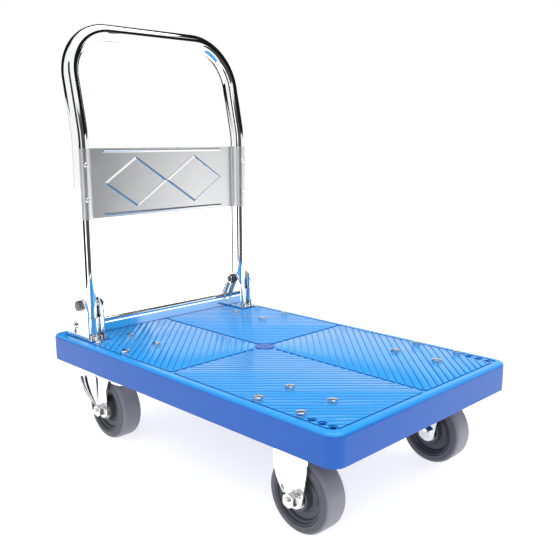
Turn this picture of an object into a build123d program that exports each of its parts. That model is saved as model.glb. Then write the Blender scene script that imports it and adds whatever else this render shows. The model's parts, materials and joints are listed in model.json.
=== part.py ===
from build123d import *
import os
from math import asin, atan2, cos, hypot, radians, sin, tan

# Folding platform cart.  Millimetres, +Z up, origin on the floor under the deck's centre.
# +X is the way the cart is pushed, the handle stands at -X, left is +Y.

os.makedirs("parts", exist_ok=True)

SIDES = {"right": -1, "left": 1}

# ---- driving dimensions ------------------------------------------------------------

# Deck: one moulded plastic tray, turned upside down.
deck_length = 680.0
deck_width = 430.0
deck_depth = 45.0
deck_corner = 21.0
deck_edge = 6.0
deck_wall = 4.0
deck_skin = 5.0
rib_thickness = 3.0
rib_pitch_x = 54.0
rib_pitch_y = 60.0
field_rear_margin = 56.0      # smooth band in front of and behind the handle brackets
field_margin = 13.0           # smooth border along the other three sides
field_recess = 1.5
field_corner = 8.0
bolt_seat_radius = 9.0
foot_seat_margin = 1.0        # raised seat under a bracket, beyond the bracket's base
foot_pocket_gap = 3.0         # channel round that seat
foot_pocket_corner = 4.0
lash_hole_radius = 4.75
lash_hole_pitch = 17.75
lash_hole_count = 3
lash_hole_inset_x = 41.0      # middle hole to the deck's front end
lash_hole_inset_y = 23.5
badge_radius = 16.5
badge_thickness = 2.0
badge_chamfer = 0.4

# Casters: 110 mm wheels under 104 x 84 plates.
wheel_radius = 55.0
wheel_tread_width = 41.0
caster_inset_y = 56.5         # plate centre to the deck's side
rear_caster_inset = 164.0     # plate centre to the deck's rear end
front_caster_inset = 119.0
plate_length = 104.0
plate_width = 84.0
plate_thickness = 3.0
plate_corner = 8.0
plate_hole_pitch_x = 80.0
plate_hole_pitch_y = 63.0
swivel_trail = 48.0           # kingpin to axle
rigid_lead = 23.5             # plate centre to axle
fork_gap = 49.0
fork_leg_thickness = 2.5
fork_crown_thickness = 3.5
fork_shoulder = 8.0
fork_tip_radius = 15.0
fork_flare_mid = 0.8          # flare's radius half-way down, as a share of its top radius
fork_flare_foot = 1.5         # flare's radius at its lower end
fork_flare_start = 3.0        # flare's lower end, above the axle
swivel_flare = 18.0           # radius of the flare along each leg's rear edge, at its top
swivel_leg_rear = 25.0        # leg's rear edge at its top, behind the axle
swivel_knee = (14.0, 38.0)    # front edge's corner, before and above the axle
swivel_gusset = (22.0, 2.0)   # front edge's upper corner, before the axle and below the crown
rigid_flare = 13.0
rigid_leg_rear = 9.5
rigid_knee = (22.5, 43.0)
rigid_gusset = (6.5, 3.0)     # front edge's upper corner, before the axle, and the drop beyond it
swivel_crown_radius = 33.0
wheel_headroom = 5.15         # wheel to the swivel fork's crown

kingpin_radius = 6.0
kingpin_head_radius = 11.0
kingpin_head_thickness = 5.0
kingpin_head_round = 1.5
race_radius = 31.0
race_wall = 2.0
race_thickness = 6.05
ball_radius = 3.0
ball_count = 20
ball_circle_radius = 23.5
ball_clearance = 0.15

axle_radius = 6.0
axle_head_across = 19.0
axle_head_thickness = 7.5
axle_nut_thickness = 10.0
axle_washer_radius = 12.0
axle_washer_thickness = 2.0
axle_end = 6.0                # bolt end beyond the nut
sleeve_radius = 8.0
bearing_radius = 16.0
bearing_width = 9.0
bearing_inset = 1.0           # bearing face below the hub boss
hub_boss_length = 45.6
hub_boss_radius = 20.0
hub_bore_radius = 10.0
hub_web_thickness = 12.0
hub_rim_radius = 41.0
hub_rim_wall = 4.0
hub_rim_width = 39.0
tread_crown_width = 31.0
tread_shoulder_radius = 5.0
tread_lip = 0.5               # tyre stands beyond the rim
tread_side_depth = 7.0        # from the crown down to the widest place
hub_fillet_step = 3.0         # boss and rim walls splay by this much

# Fasteners through the deck.
caster_bolt_radius = 4.0      # M8
caster_bolt_across = 13.0
caster_bolt_head = 5.3
caster_nut_thickness = 6.5
caster_washer_radius = 8.0
caster_washer_thickness = 1.6
caster_bolt_end = 1.4
caster_bolt_chamfer = 0.6
bolt_end_gap = 1.0            # caster bolt's end to the rigid fork's front edge
bracket_bolt_radius = 3.0     # M6
bracket_bolt_across = 10.0
bracket_bolt_head = 4.0
bracket_nut_thickness = 5.0
bracket_bolt_end = 1.5
bolt_boss_wall = 6.0

# Handle.
leg_inset_x = 78.0            # leg's centre line to the deck's rear end
leg_inset_y = 35.0
tube_radius = 14.0
tube_wall = 1.5
lean_height = 352.0           # deck top to the bend in the legs
lean_angle = 12.25
handle_height = 533.0         # deck top to the top bar's centre line
lean_bend_radius = 120.0
corner_bend_radius = 84.0
panel_bottom = 211.5          # above the deck top
panel_top = 333.0
panel_thickness = 1.0
panel_bend_radius = 2.5
panel_wrap_angle = 45.0       # past the front of the tube, on its outer side
rivet_heights = (245.5, 305.0)
rivet_radius = 2.0
rivet_head_radius = 4.25
rivet_head_thickness = 2.0
rivet_head_round = 1.4

# Hinge brackets and the foot bar that locks the handle.
pivot_height = 61.0           # above the deck top
pivot_bolt_radius = 5.0       # M10
pivot_bolt_across = 17.0
pivot_bolt_head = 6.4
pivot_nut_thickness = 5.0
pivot_bolt_end = 7.0
bush_wall = 2.0
ear_thickness = 2.5
ear_side_clearance = 0.5
bracket_base_thickness = 2.5
bracket_bend_radius = 2.0
bracket_top = 73.0            # above the deck top
bracket_top_radius = 37.0     # round rear corner of each ear
bracket_slope = (15.0, 22.0)  # ear's sloping front corner, along and down
ear_front_margin = 9.0        # ear in front of the leg
bolt_to_cup = 0.35            # front bolt's corner to the stop cup
bolt_behind_bar = 15.0        # rear bolt's centre, behind the foot bar's
bolt_to_toe = 8.0             # bolt's centre to the front end of the base
bolt_to_heel = 11.0
bar_radius = 4.5
bar_back = 21.0               # behind the leg's centre line
bar_height = 22.0             # above the deck top
bar_travel = 10.0
bar_cap_radius = 6.5
bar_cap_thickness = 3.0
bar_cap_play = 0.5
bar_end = 2.0
bar_chamfer = 0.8
latch_clearance = 0.5         # leg's lower end to the foot bar, as the leg swings past
stop_wall = 2.5
stop_height = 38.0
spring_radius = 5.0
spring_wire_radius = 0.9
spring_to_nut = 2.0           # first coil below the pivot nut's flats

# Named clearances.
running = 0.05                # radial, shaft in hole
bolt_clearance = 0.5          # radial, bolt in a clearance hole
guide_clearance = 0.3         # foot bar in its slots
seat_clearance = 0.4          # leg against its stop

# ---- places worked out from them ---------------------------------------------------

deck_bottom = (2 * wheel_radius + wheel_headroom + fork_crown_thickness + 2 * ball_clearance
               + 2 * ball_radius + race_thickness + plate_thickness)
deck_top = deck_bottom + deck_depth
axle_height = wheel_radius
caster_y = deck_width / 2 - caster_inset_y
rear_plate_x = rear_caster_inset - deck_length / 2
front_plate_x = deck_length / 2 - front_caster_inset
rear_wheel_x = rear_plate_x - swivel_trail
front_wheel_x = front_plate_x + rigid_lead
plate_bottom = deck_bottom - plate_thickness

swivel_crown_bottom = 2 * wheel_radius + wheel_headroom
swivel_crown_top = swivel_crown_bottom + fork_crown_thickness
ball_height = swivel_crown_top + ball_clearance + ball_radius
race_bottom = ball_height + ball_radius + ball_clearance
fork_half_outer = fork_gap / 2 + fork_leg_thickness

leg_x = leg_inset_x - deck_length / 2
leg_y = deck_width / 2 - leg_inset_y
pivot_z = deck_top + pivot_height
bar_x = leg_x - bar_back
bar_z = deck_top + bar_height
bar_distance = hypot(bar_back, pivot_height - bar_height)
leg_swing = bar_distance - bar_radius - latch_clearance
leg_below_pivot = (leg_swing ** 2 - tube_radius ** 2) ** 0.5
leg_foot_z = pivot_z - leg_below_pivot
ear_inner = tube_radius + ear_side_clearance
ear_outer = ear_inner + ear_thickness
bracket_front = tube_radius + ear_front_margin
bolt_corner_radius = bracket_bolt_across / 2 / cos(radians(30))
bracket_front_bolt = tube_radius + seat_clearance + stop_wall + bolt_corner_radius + bolt_to_cup
bracket_rear_bolt = bar_back + bolt_behind_bar
bracket_toe = bracket_front_bolt + bolt_to_toe
bracket_rear = bracket_rear_bolt + bolt_to_heel
bush_radius = pivot_bolt_radius + bush_wall
handle_z = deck_top + handle_height
lean_z = deck_top + lean_height
handle_x = leg_x - (handle_z - lean_z) * tan(radians(lean_angle))

caster_bolts_at = [
    (plate_x + dx * plate_hole_pitch_x / 2, side * caster_y + dy * plate_hole_pitch_y / 2)
    for plate_x in (rear_plate_x, front_plate_x)
    for side in SIDES.values()
    for dx in (-1, 1)
    for dy in (-1, 1)
]
bracket_bolts_at = [
    (leg_x + dx, side * leg_y)
    for side in SIDES.values()
    for dx in (bracket_front_bolt, -bracket_rear_bolt)
]
lash_holes_at = [
    (deck_length / 2 - lash_hole_inset_x + (n - (lash_hole_count - 1) / 2) * lash_hole_pitch, side)
    for n in range(lash_hole_count)
    for side in (lash_hole_inset_y - deck_width / 2, deck_width / 2 - lash_hole_inset_y)
]


def finish(piece, node):
    """Name a finished piece and write it out."""
    piece.part.label = node
    export_step(piece.part, f"parts/{node}.step")


def across_y(y):
    """The XZ plane at a given Y, facing -Y."""
    return Plane.XZ.offset(-y)


def hexagon(across):
    """Hexagon by its width across flats."""
    return RegularPolygon(radius=across / 2, side_count=6, major_radius=False)


# ---- deck --------------------------------------------------------------------------

inner_length = deck_length - 2 * deck_wall
inner_width = deck_width - 2 * deck_wall
field_length = deck_length - field_rear_margin - field_margin
field_width = deck_width - 2 * field_margin
field_x = (field_rear_margin - field_margin) / 2
foot_length = bracket_toe + bracket_rear
foot_x = leg_x + (bracket_toe - bracket_rear) / 2
foot_margin = foot_seat_margin + foot_pocket_gap
pocket_inner = leg_y - ear_outer - foot_margin
pocket_width = field_width / 2 - pocket_inner
pocket_y = (field_width / 2 + pocket_inner) / 2
rib_depth = deck_depth - deck_skin
ribs_along_x = int(inner_length / 2 / rib_pitch_x)
ribs_along_y = int(inner_width / 2 / rib_pitch_y)

with BuildPart() as deck_shell:
    with BuildSketch(Plane.XY.offset(deck_bottom)):
        RectangleRounded(deck_length, deck_width, deck_corner)
    extrude(amount=deck_depth)
    fillet(deck_shell.faces().sort_by(Axis.Z)[-1].edges(), deck_edge)
    # Hollow underside, stiffened by a grid of ribs.
    with BuildSketch(Plane.XY.offset(deck_bottom)):
        RectangleRounded(inner_length, inner_width, deck_corner - deck_wall)
    extrude(amount=rib_depth, mode=Mode.SUBTRACT)
    with BuildSketch(Plane.XY.offset(deck_bottom)):
        with Locations([(n * rib_pitch_x, 0) for n in range(-ribs_along_x, ribs_along_x + 1)]):
            Rectangle(rib_thickness, inner_width)
        with Locations([(0, n * rib_pitch_y) for n in range(-ribs_along_y, ribs_along_y + 1)]):
            Rectangle(inner_length, rib_thickness)
        # Bosses that carry the bolts' clamping load down to the plates.
        with Locations(caster_bolts_at):
            Circle(caster_bolt_radius + bolt_clearance + bolt_boss_wall)
        with Locations(bracket_bolts_at):
            Circle(bracket_bolt_radius + bolt_clearance + bolt_boss_wall)
        RectangleRounded(deck_length - deck_wall, deck_width - deck_wall,
                         deck_corner - deck_wall / 2, mode=Mode.INTERSECT)
    extrude(amount=rib_depth)
    # Recessed field that holds the anti-slip pads, with flat seats for bolts and brackets.
    with BuildSketch(Plane.XY.offset(deck_top)):
        with Locations((field_x, 0)):
            RectangleRounded(field_length, field_width, field_corner)
        with Locations([(foot_x, side * pocket_y) for side in SIDES.values()]):
            RectangleRounded(foot_length + 2 * foot_margin, pocket_width, foot_pocket_corner)
        with Locations([(foot_x, side * leg_y) for side in SIDES.values()]):
            Rectangle(foot_length + 2 * foot_seat_margin, 2 * (ear_outer + foot_seat_margin),
                      mode=Mode.SUBTRACT)
        with Locations(caster_bolts_at):
            Circle(bolt_seat_radius, mode=Mode.SUBTRACT)
    extrude(amount=-field_recess, mode=Mode.SUBTRACT)
    with Locations([(x, y, deck_top) for x, y in caster_bolts_at]):
        Hole(caster_bolt_radius + bolt_clearance)
    with Locations([(x, y, deck_top) for x, y in bracket_bolts_at]):
        Hole(bracket_bolt_radius + bolt_clearance)
    with Locations([(x, y, deck_top) for x, y in lash_holes_at]):
        Hole(lash_hole_radius, depth=2 * deck_skin)
finish(deck_shell, "deck_shell")

with BuildPart() as deck_badge:
    with BuildSketch(Plane.XY.offset(deck_top - field_recess)):
        Circle(badge_radius)
    extrude(amount=badge_thickness)
    chamfer(deck_badge.faces().sort_by(Axis.Z)[-1].edges(), badge_chamfer)
finish(deck_badge, "deck_badge")

# ---- caster fasteners --------------------------------------------------------------

washer_bottom = plate_bottom - caster_washer_thickness
nut_bottom = washer_bottom - caster_nut_thickness
caster_bolt_bottom = nut_bottom - caster_bolt_end

with BuildPart() as caster_bolts:
    with BuildSketch(Plane.XY.offset(deck_top)):
        with Locations(caster_bolts_at):
            hexagon(caster_bolt_across)
    extrude(amount=caster_bolt_head)
    chamfer(caster_bolts.faces().filter_by(Axis.Z).group_by(Axis.Z)[-1].edges(), caster_bolt_chamfer)
    with BuildSketch(Plane.XY.offset(deck_top)):
        with Locations(caster_bolts_at):
            Circle(caster_bolt_radius)
    extrude(amount=caster_bolt_bottom - deck_top)
finish(caster_bolts, "caster_bolts")

with BuildPart() as caster_washers:
    with BuildSketch(Plane.XY.offset(plate_bottom)):
        with Locations(caster_bolts_at):
            Circle(caster_washer_radius)
            Circle(caster_bolt_radius + running, mode=Mode.SUBTRACT)
    extrude(amount=-caster_washer_thickness)
finish(caster_washers, "caster_washers")

with BuildPart() as caster_nuts:
    with BuildSketch(Plane.XY.offset(washer_bottom)):
        with Locations(caster_bolts_at):
            hexagon(caster_bolt_across)
            Circle(caster_bolt_radius + running, mode=Mode.SUBTRACT)
    extrude(amount=-caster_nut_thickness)
finish(caster_nuts, "caster_nuts")

# ---- casters -----------------------------------------------------------------------


def fork_legs(wheel_x, side, crown_bottom, crown_top, outline):
    """U-shaped pressing: two legs and a crown, trimmed to the leg's side outline."""
    with BuildSketch(Plane.YZ.offset(wheel_x)) as section:
        with Locations((side * caster_y, crown_top)):
            Rectangle(2 * fork_half_outer, crown_top, align=(Align.CENTER, Align.MAX))
        fillet(section.vertices().group_by(Axis.Y)[-1], fork_shoulder)
        with Locations((side * caster_y, crown_bottom)):
            Rectangle(fork_gap, crown_top, align=(Align.CENTER, Align.MAX), mode=Mode.SUBTRACT)
    extrude(section.sketch, amount=2 * wheel_radius, both=True)
    with BuildSketch(across_y(side * caster_y)) as leg:
        with BuildLine():
            Polyline(*[(wheel_x + x, axle_height + z) for x, z in outline], close=True)
        make_face()
        with Locations((wheel_x, axle_height)):
            Circle(fork_tip_radius)
    extrude(leg.sketch, amount=fork_half_outer + 1, both=True, mode=Mode.INTERSECT)


def axle_holes(wheel_x, side, radius):
    """One hole through both legs, along Y."""
    with BuildSketch(across_y(side * caster_y)) as hole:
        with Locations((wheel_x, axle_height)):
            Circle(radius)
    extrude(hole.sketch, amount=fork_half_outer + 1, both=True, mode=Mode.SUBTRACT)


def bolted_plate(plate_x, side):
    """Top plate with four bolt holes, under the deck."""
    with BuildSketch(Plane.XY.offset(plate_bottom)) as plan:
        with Locations((plate_x, side * caster_y)):
            RectangleRounded(plate_length, plate_width, plate_corner)
            with GridLocations(plate_hole_pitch_x, plate_hole_pitch_y, 2, 2):
                Circle(caster_bolt_radius + bolt_clearance, mode=Mode.SUBTRACT)
    extrude(plan.sketch, amount=plate_thickness)


def flared_edges(wheel_x, side, leg_rear, leg_top, flare):
    """Each leg's rear edge curves outwards, less and less towards the axle."""
    for leg in (-1, 1):
        sections = []
        for share, radius in ((1.0, flare), (0.5, flare * fork_flare_mid), (0.0, fork_flare_foot)):
            height = fork_flare_start + share * (leg_top - fork_shoulder - fork_flare_start)
            edge_x = wheel_x - fork_tip_radius - (leg_rear - fork_tip_radius) * height / leg_top
            centre_y = side * caster_y + leg * (fork_half_outer + radius)
            with BuildSketch(Plane.XY.offset(axle_height + height)) as section:
                with Locations((edge_x, centre_y)):
                    Circle(radius + fork_leg_thickness)
                    Circle(radius, mode=Mode.SUBTRACT)
                    quarter = 2 * (radius + fork_leg_thickness)
                    Rectangle(quarter, quarter, mode=Mode.INTERSECT,
                              align=(Align.MAX, Align.MAX if leg > 0 else Align.MIN))
            sections.append(section.sketch)
        loft(sections)


def tip_tangent(knee):
    """Where a straight leg edge from its knee meets the round tip."""
    reach = hypot(*knee)
    angle = atan2(knee[1], knee[0]) - radians(90) + asin(fork_tip_radius / reach)
    return fork_tip_radius * cos(angle), fork_tip_radius * sin(angle)


swivel_top = swivel_crown_top - axle_height
swivel_front = swivel_trail + swivel_crown_radius / 2
swivel_outline = [
    (-swivel_leg_rear, swivel_top),
    (-fork_tip_radius, 0.0),
    (0.0, 0.0),
    tip_tangent(swivel_knee),
    swivel_knee,
    (swivel_gusset[0], swivel_top - fork_crown_thickness - swivel_gusset[1]),
    (swivel_front, swivel_top - fork_crown_thickness),
    (swivel_front, swivel_top),
]

rigid_top = plate_bottom - axle_height
nut_room = caster_washer_thickness + caster_nut_thickness + caster_bolt_end + bolt_end_gap
rigid_outline = [
    (-rigid_leg_rear, rigid_top),
    (-fork_tip_radius, 0.0),
    (0.0, 0.0),
    tip_tangent(rigid_knee),
    rigid_knee,
    (rigid_knee[0], rigid_top - nut_room - rigid_gusset[1]),
    (rigid_gusset[0], rigid_top - nut_room),
    (rigid_gusset[0], rigid_top),
]

for name, side in SIDES.items():
    plate_y = side * caster_y

    with BuildPart() as swivel_plate:
        bolted_plate(rear_plate_x, side)
        with Locations((rear_plate_x, plate_y, deck_bottom)):
            Hole(kingpin_radius + running)
    finish(swivel_plate, f"swivel_plate_{name}")

    # Pressed cup under the plate: the upper race, with a skirt round the balls.
    with BuildPart() as swivel_race:
        with BuildSketch(Plane.XY.offset(race_bottom)):
            with Locations((rear_plate_x, plate_y)):
                Circle(race_radius)
                Circle(kingpin_radius + running, mode=Mode.SUBTRACT)
        extrude(amount=plate_bottom - race_bottom)
        with BuildSketch(Plane.XY.offset(race_bottom)):
            with Locations((rear_plate_x, plate_y)):
                Circle(race_radius)
                Circle(race_radius - race_wall, mode=Mode.SUBTRACT)
        extrude(amount=swivel_crown_top + seat_clearance - race_bottom)
    finish(swivel_race, f"swivel_race_{name}")

    with BuildPart() as swivel_balls:
        with Locations((rear_plate_x, plate_y, ball_height)):
            with PolarLocations(ball_circle_radius, ball_count):
                Sphere(ball_radius)
    finish(swivel_balls, f"swivel_balls_{name}")

    with BuildPart() as kingpin:
        with BuildSketch(Plane.XY.offset(deck_bottom)):
            with Locations((rear_plate_x, plate_y)):
                Circle(kingpin_radius)
        kingpin_head_top = swivel_crown_bottom - seat_clearance
        extrude(amount=kingpin_head_top - deck_bottom)
        with BuildSketch(Plane.XY.offset(kingpin_head_top)):
            with Locations((rear_plate_x, plate_y)):
                Circle(kingpin_head_radius)
        extrude(amount=-kingpin_head_thickness)
        fillet(kingpin.faces().sort_by(Axis.Z)[0].edges(), kingpin_head_round)
    finish(kingpin, f"kingpin_{name}")

    with BuildPart() as swivel_flares:
        flared_edges(rear_wheel_x, side, swivel_leg_rear, swivel_top, swivel_flare)

    with BuildPart() as swivel_fork:
        fork_legs(rear_wheel_x, side, swivel_crown_bottom, swivel_crown_top, swivel_outline)
        add(swivel_flares.part)
        with BuildSketch(Plane.XY.offset(swivel_crown_bottom)):
            with Locations((rear_plate_x, plate_y)):
                Circle(swivel_crown_radius)
        extrude(amount=fork_crown_thickness)
        with Locations((rear_plate_x, plate_y, swivel_crown_top)):
            Hole(kingpin_radius + running, depth=2 * fork_crown_thickness)
        axle_holes(rear_wheel_x, side, axle_radius + running)
    finish(swivel_fork, f"swivel_fork_{name}")

    with BuildPart() as rigid_plate:
        bolted_plate(front_plate_x, side)
    finish(rigid_plate, f"rigid_plate_{name}")

    with BuildPart() as rigid_flares:
        flared_edges(front_wheel_x, side, rigid_leg_rear, rigid_top, rigid_flare)

    with BuildPart() as rigid_fork:
        fork_legs(front_wheel_x, side, plate_bottom - fork_crown_thickness, plate_bottom, rigid_outline)
        add(rigid_flares.part)
        axle_holes(front_wheel_x, side, axle_radius + running)
    finish(rigid_fork, f"rigid_fork_{name}")

# ---- wheels and axles --------------------------------------------------------------


def turn_about_axle(wheel_x, side, half_profile):
    """Solid of revolution about the axle, from half a profile given as (radius, along)."""
    wheel_y = side * caster_y
    across_axle = Plane(origin=(wheel_x, wheel_y, axle_height), x_dir=(0, 0, 1), z_dir=(1, 0, 0))
    mirrored = [(radius, -along) for radius, along in reversed(half_profile)]
    with BuildSketch(across_axle) as profile:
        with BuildLine():
            Polyline(*half_profile, *mirrored, close=True)
        make_face()
    revolve(profile.sketch, axis=Axis((wheel_x, wheel_y, axle_height), (0, 1, 0)))


tread_profile = [
    (hub_rim_radius + running, hub_rim_width / 2 + tread_lip),
    (wheel_radius - tread_side_depth, wheel_tread_width / 2),
    (wheel_radius, tread_crown_width / 2),
]
hub_profile = [
    (hub_bore_radius, hub_boss_length / 2 - bearing_inset - bearing_width),
    (bearing_radius + running, hub_boss_length / 2 - bearing_inset - bearing_width),
    (bearing_radius + running, hub_boss_length / 2),
    (hub_boss_radius, hub_boss_length / 2),
    (hub_boss_radius + hub_fillet_step, hub_web_thickness / 2),
    (hub_rim_radius - hub_rim_wall - hub_fillet_step, hub_web_thickness / 2),
    (hub_rim_radius - hub_rim_wall, hub_rim_width / 2),
    (hub_rim_radius, hub_rim_width / 2),
]
sleeve_length = fork_gap - 2 * running
bearing_centre = hub_boss_length / 2 - bearing_inset - bearing_width / 2


def tube_along_y(x, y, z, outer, inner, length):
    """Ring or tube centred on a point, along Y."""
    with BuildSketch(across_y(y)) as ring:
        with Locations((x, z)):
            Circle(outer)
            Circle(inner, mode=Mode.SUBTRACT)
    extrude(ring.sketch, amount=length / 2, both=True)


for place, wheel_x in (("rear", rear_wheel_x), ("front", front_wheel_x)):
    for name, side in SIDES.items():
        wheel_y = side * caster_y

        with BuildPart() as tread:
            turn_about_axle(wheel_x, side, tread_profile)
            rim = tread.edges().filter_by(GeomType.CIRCLE).group_by(SortBy.RADIUS)[-1]
            fillet(rim, tread_shoulder_radius)
        finish(tread, f"tread_{place}_{name}")

        with BuildPart() as hub:
            turn_about_axle(wheel_x, side, hub_profile)
        finish(hub, f"wheel_hub_{place}_{name}")

        with BuildPart() as bearings:
            for end in (-1, 1):
                tube_along_y(wheel_x, wheel_y + end * bearing_centre, axle_height,
                             bearing_radius, sleeve_radius + running, bearing_width)
        finish(bearings, f"wheel_bearings_{place}_{name}")

# The head is on the inner side of each wheel, the nut and the bolt's end are outside.


def axle_sleeve_at(wheel_x, side):
    tube_along_y(wheel_x, side * caster_y, axle_height,
                 sleeve_radius, axle_radius + running, sleeve_length)


def axle_bolt_at(wheel_x, side):
    head_y = side * (caster_y - fork_half_outer)
    end_y = side * (caster_y + fork_half_outer + axle_washer_thickness + axle_nut_thickness + axle_end)
    with BuildSketch(across_y(head_y)) as head:
        with Locations((wheel_x, axle_height)):
            hexagon(axle_head_across)
    extrude(head.sketch, amount=side * axle_head_thickness)
    with BuildSketch(across_y(head_y)) as shank:
        with Locations((wheel_x, axle_height)):
            Circle(axle_radius)
    extrude(shank.sketch, amount=head_y - end_y)


def axle_nut_at(wheel_x, side):
    washer_y = side * (caster_y + fork_half_outer)
    nut_y = washer_y + side * axle_washer_thickness
    with BuildSketch(across_y(washer_y)) as washer:
        with Locations((wheel_x, axle_height)):
            Circle(axle_washer_radius)
            Circle(axle_radius + running, mode=Mode.SUBTRACT)
    extrude(washer.sketch, amount=-side * axle_washer_thickness)
    with BuildSketch(across_y(nut_y)) as nut:
        with Locations((wheel_x, axle_height)):
            hexagon(axle_head_across)
            Circle(axle_radius + running, mode=Mode.SUBTRACT)
    extrude(nut.sketch, amount=-side * axle_nut_thickness)


for node, build in (("axle_sleeve", axle_sleeve_at), ("axle_bolt", axle_bolt_at), ("axle_nut", axle_nut_at)):
    for name, side in SIDES.items():
        with BuildPart() as rear_piece:
            build(rear_wheel_x, side)
        finish(rear_piece, f"{node}_rear_{name}")
    with BuildPart() as front_pair:
        for side in SIDES.values():
            build(front_wheel_x, side)
    finish(front_pair, f"{node}s_front")

# ---- hinge brackets ----------------------------------------------------------------

slot_half = bar_radius + guide_clearance
slot_top = bar_z + slot_half
slot_bottom = bar_z - bar_travel - slot_half
bracket_bottom = deck_top + bracket_base_thickness

for name, side in SIDES.items():
    bracket_y = side * leg_y

    with BuildPart() as bracket:
        with BuildSketch(across_y(bracket_y)):
            with BuildLine():
                FilletPolyline(
                    (leg_x - bracket_rear, deck_top),
                    (leg_x - bracket_rear, deck_top + bracket_top),
                    (leg_x + bracket_front - bracket_slope[0], deck_top + bracket_top),
                    (leg_x + bracket_front, deck_top + bracket_top - bracket_slope[1]),
                    (leg_x + bracket_front, deck_top),
                    radius=(0, bracket_top_radius, 0, 0, 0),
                    close=True,
                )
            make_face()
            with Locations((bar_x, (slot_top + slot_bottom) / 2)):
                SlotOverall(slot_top - slot_bottom, 2 * slot_half, rotation=90, mode=Mode.SUBTRACT)
            with Locations((leg_x, pivot_z)):
                Circle(pivot_bolt_radius + running, mode=Mode.SUBTRACT)
        extrude(amount=ear_outer, both=True)
        # Room for the leg between the two ears.
        with BuildSketch(Plane.XY.offset(bracket_bottom)):
            with Locations((leg_x, bracket_y)):
                Rectangle(4 * bracket_rear, 2 * ear_inner)
        extrude(amount=bracket_top, mode=Mode.SUBTRACT)
        # Toe of the base plate, for the front bolt.
        with BuildSketch(Plane.XY.offset(deck_top)):
            with Locations((leg_x, bracket_y)):
                Rectangle(bracket_toe, 2 * ear_outer, align=(Align.MIN, Align.CENTER))
        extrude(amount=bracket_base_thickness)
        fillet(bracket.edges().filter_by(Axis.X).group_by(Axis.Z)[0], bracket_bend_radius)
        with Locations([(leg_x + dx, bracket_y, bracket_bottom)
                        for dx in (bracket_front_bolt, -bracket_rear_bolt)]):
            Hole(bracket_bolt_radius + bolt_clearance, depth=2 * bracket_base_thickness)
    finish(bracket, f"bracket_{name}")

    # Half-round cup in front of the leg's lower end: the handle stands against it.
    with BuildPart() as stop_cup:
        with BuildSketch(Plane.XY.offset(bracket_bottom)):
            with Locations((leg_x, bracket_y)):
                Circle(tube_radius + seat_clearance + stop_wall)
                Circle(tube_radius + seat_clearance, mode=Mode.SUBTRACT)
                Rectangle(bracket_toe, 2 * ear_inner,
                          align=(Align.MIN, Align.CENTER), mode=Mode.INTERSECT)
        extrude(amount=stop_height - bracket_base_thickness)
    finish(stop_cup, f"stop_cup_{name}")

    # Pivot bolt: head outside, thin nut inside, its end holds the spring's eye.
    outer_face = bracket_y + side * ear_outer
    inner_face = bracket_y - side * ear_outer
    nut_face = inner_face - side * pivot_nut_thickness
    bolt_end_y = nut_face - side * pivot_bolt_end

    with BuildPart() as pivot_bolt:
        with BuildSketch(across_y(outer_face)):
            with Locations((leg_x, pivot_z)):
                hexagon(pivot_bolt_across)
        extrude(amount=-side * pivot_bolt_head)
        with BuildSketch(across_y(outer_face)):
            with Locations((leg_x, pivot_z)):
                Circle(pivot_bolt_radius)
        extrude(amount=outer_face - bolt_end_y)
    finish(pivot_bolt, f"pivot_bolt_{name}")

    with BuildPart() as pivot_nut:
        with BuildSketch(across_y(inner_face)):
            with Locations((leg_x, pivot_z)):
                hexagon(pivot_bolt_across)
                Circle(pivot_bolt_radius + running, mode=Mode.SUBTRACT)
        extrude(amount=side * pivot_nut_thickness)
    finish(pivot_nut, f"pivot_nut_{name}")

    # Bush through the leg, between the ears.
    with BuildPart() as pivot_bush:
        tube_along_y(leg_x, bracket_y, pivot_z, bush_radius,
                     pivot_bolt_radius + running, 2 * (ear_inner - guide_clearance))
    finish(pivot_bush, f"pivot_bush_{name}")

    # Extension spring from the pivot bolt's end down to the foot bar.
    spring_y = nut_face - side * pivot_bolt_end / 2
    top_eye = pivot_bolt_radius + guide_clearance + spring_wire_radius
    bar_eye = bar_radius + guide_clearance + spring_wire_radius
    nut_corner = pivot_bolt_across / 2 + spring_to_nut
    down_the_spring = Plane(
        origin=(leg_x, spring_y, pivot_z),
        x_dir=(0, 1, 0),
        z_dir=(bar_x - leg_x, 0, bar_z - pivot_z),
    )
    with BuildPart() as bar_spring:
        with BuildSketch(down_the_spring.offset(nut_corner)):
            Circle(spring_radius)
        extrude(amount=bar_distance - bar_eye - nut_corner)
        with BuildSketch(down_the_spring.offset(top_eye)):
            Circle(spring_wire_radius)
        extrude(amount=nut_corner - top_eye)
        for eye_x, eye_z, eye_radius in ((leg_x, pivot_z, top_eye), (bar_x, bar_z, bar_eye)):
            with Locations(Location((eye_x, spring_y, eye_z), (90, 0, 0))):
                Torus(eye_radius, spring_wire_radius)
    finish(bar_spring, f"bar_spring_{name}")

with BuildPart() as bracket_bolts:
    with BuildSketch(Plane.XY.offset(bracket_bottom)):
        with Locations(bracket_bolts_at):
            hexagon(bracket_bolt_across)
    extrude(amount=bracket_bolt_head)
    with BuildSketch(Plane.XY.offset(bracket_bottom)):
        with Locations(bracket_bolts_at):
            Circle(bracket_bolt_radius)
    extrude(amount=deck_bottom - bracket_nut_thickness - bracket_bolt_end - bracket_bottom)
finish(bracket_bolts, "bracket_bolts")

with BuildPart() as bracket_nuts:
    with BuildSketch(Plane.XY.offset(deck_bottom)):
        with Locations(bracket_bolts_at):
            hexagon(bracket_bolt_across)
            Circle(bracket_bolt_radius + running, mode=Mode.SUBTRACT)
    extrude(amount=-bracket_nut_thickness)
finish(bracket_nuts, "bracket_nuts")

# ---- foot bar ----------------------------------------------------------------------

bar_cap_inner = leg_y + ear_outer + bar_cap_play
bar_half_length = bar_cap_inner + bar_cap_thickness + bar_end

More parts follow.
